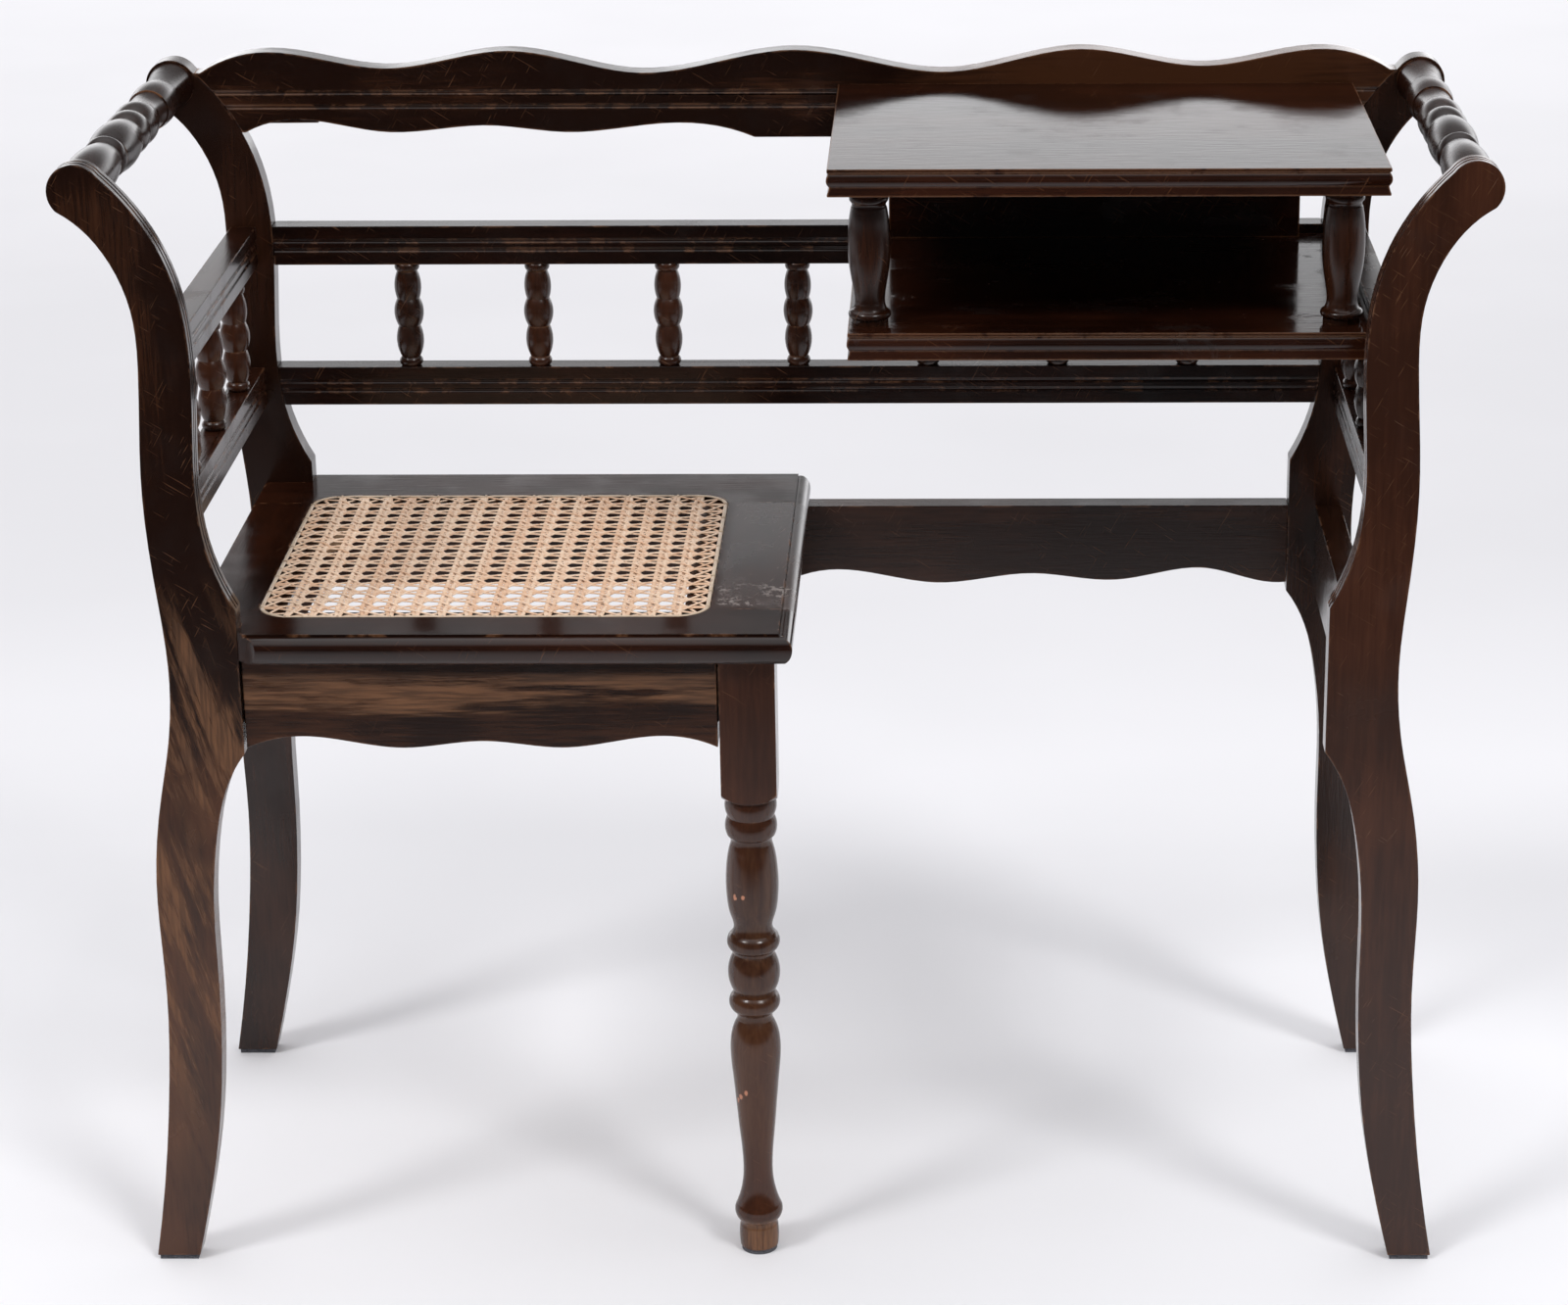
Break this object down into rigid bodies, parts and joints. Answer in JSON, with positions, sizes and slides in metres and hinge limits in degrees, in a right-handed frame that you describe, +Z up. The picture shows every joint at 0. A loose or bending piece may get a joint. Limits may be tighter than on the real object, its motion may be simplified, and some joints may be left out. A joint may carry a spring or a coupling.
{
  "type": "telephone bench",
  "caption": "Low bench with a caned seat at one end and a two-tier directory shelf at the other, in a frame of sawn S-shaped posts with turned arms, spindles and one turned leg.",
  "frame": {"origin": "on the floor under the middle of the bench, at the middle of the bottom of its bounding box", "axes": "+X along the bench from the seat end to the shelf end, +Y from the front to the back, +Z up"},
  "size_m": [0.903, 0.354, 0.768],
  "materials": {
    "frame_wood": "dark stained and polished, worn at the edges",
    "turned_wood": "dark stained and polished turnings",
    "apron_wood": "dark stain, rubbed through in patches",
    "seat_wood": "dark stained and polished",
    "shelf_wood": "glossy dark polish",
    "inner_wood": "bare sawn softwood",
    "cane": "natural woven cane",
    "felt": "dark grey felt",
    "screw_steel": "plain steel"
  },
  "bodies": {
    "root": {"back_spindle_1": "turned_wood", "back_spindle_2": "turned_wood", "back_spindle_3": "turned_wood", "back_spindle_4": "turned_wood", "back_spindle_5": "turned_wood", "back_spindle_6": "turned_wood", "back_spindle_7": "turned_wood", "cane_binder": "cane", "cane_panel": "cane", "corner_block_front_left": "inner_wood", "corner_block_front_right": "inner_wood", "corner_block_rear_left": "inner_wood", "corner_block_rear_right": "inner_wood", "crest_rail": "frame_wood", "foot_pad_front_left": "felt", "foot_pad_front_right": "felt", "foot_pad_rear_left": "felt", "foot_pad_rear_right": "felt", "foot_pad_turned_leg": "felt", "front_apron": "apron_wood", "front_left_post": "frame_wood", "front_right_post": "frame_wood", "left_arm_rail": "turned_wood", "left_end_apron": "apron_wood", "left_lower_side_rail": "frame_wood", "left_spindle_1": "turned_wood", "left_spindle_2": "turned_wood", "left_spindle_3": "turned_wood", "left_upper_side_rail": "frame_wood", "lower_back_rail": "frame_wood", "lower_shelf": "shelf_wood", "mid_back_rail": "frame_wood", "rear_apron": "apron_wood", "rear_left_post": "frame_wood", "rear_right_post": "frame_wood", "right_arm_rail": "turned_wood", "right_end_apron": "apron_wood", "right_lower_side_rail": "frame_wood", "right_spindle_1": "turned_wood", "right_spindle_2": "turned_wood", "right_spindle_3": "turned_wood", "right_upper_side_rail": "frame_wood", "seat_back_rail": "seat_wood", "seat_front_rail": "seat_wood", "seat_left_stile": "seat_wood", "seat_right_apron": "apron_wood", "seat_right_stile": "seat_wood", "seat_screw_1": "screw_steel", "seat_screw_2": "screw_steel", "seat_screw_3": "screw_steel", "seat_screw_4": "screw_steel", "shelf_back_board": "shelf_wood", "shelf_column_left": "turned_wood", "shelf_column_right": "turned_wood", "shelf_screw_1": "screw_steel", "shelf_screw_2": "screw_steel", "shelf_screw_3": "screw_steel", "shelf_screw_4": "screw_steel", "turned_leg": "turned_wood", "upper_shelf": "shelf_wood"}
  },
  "joints": []
}
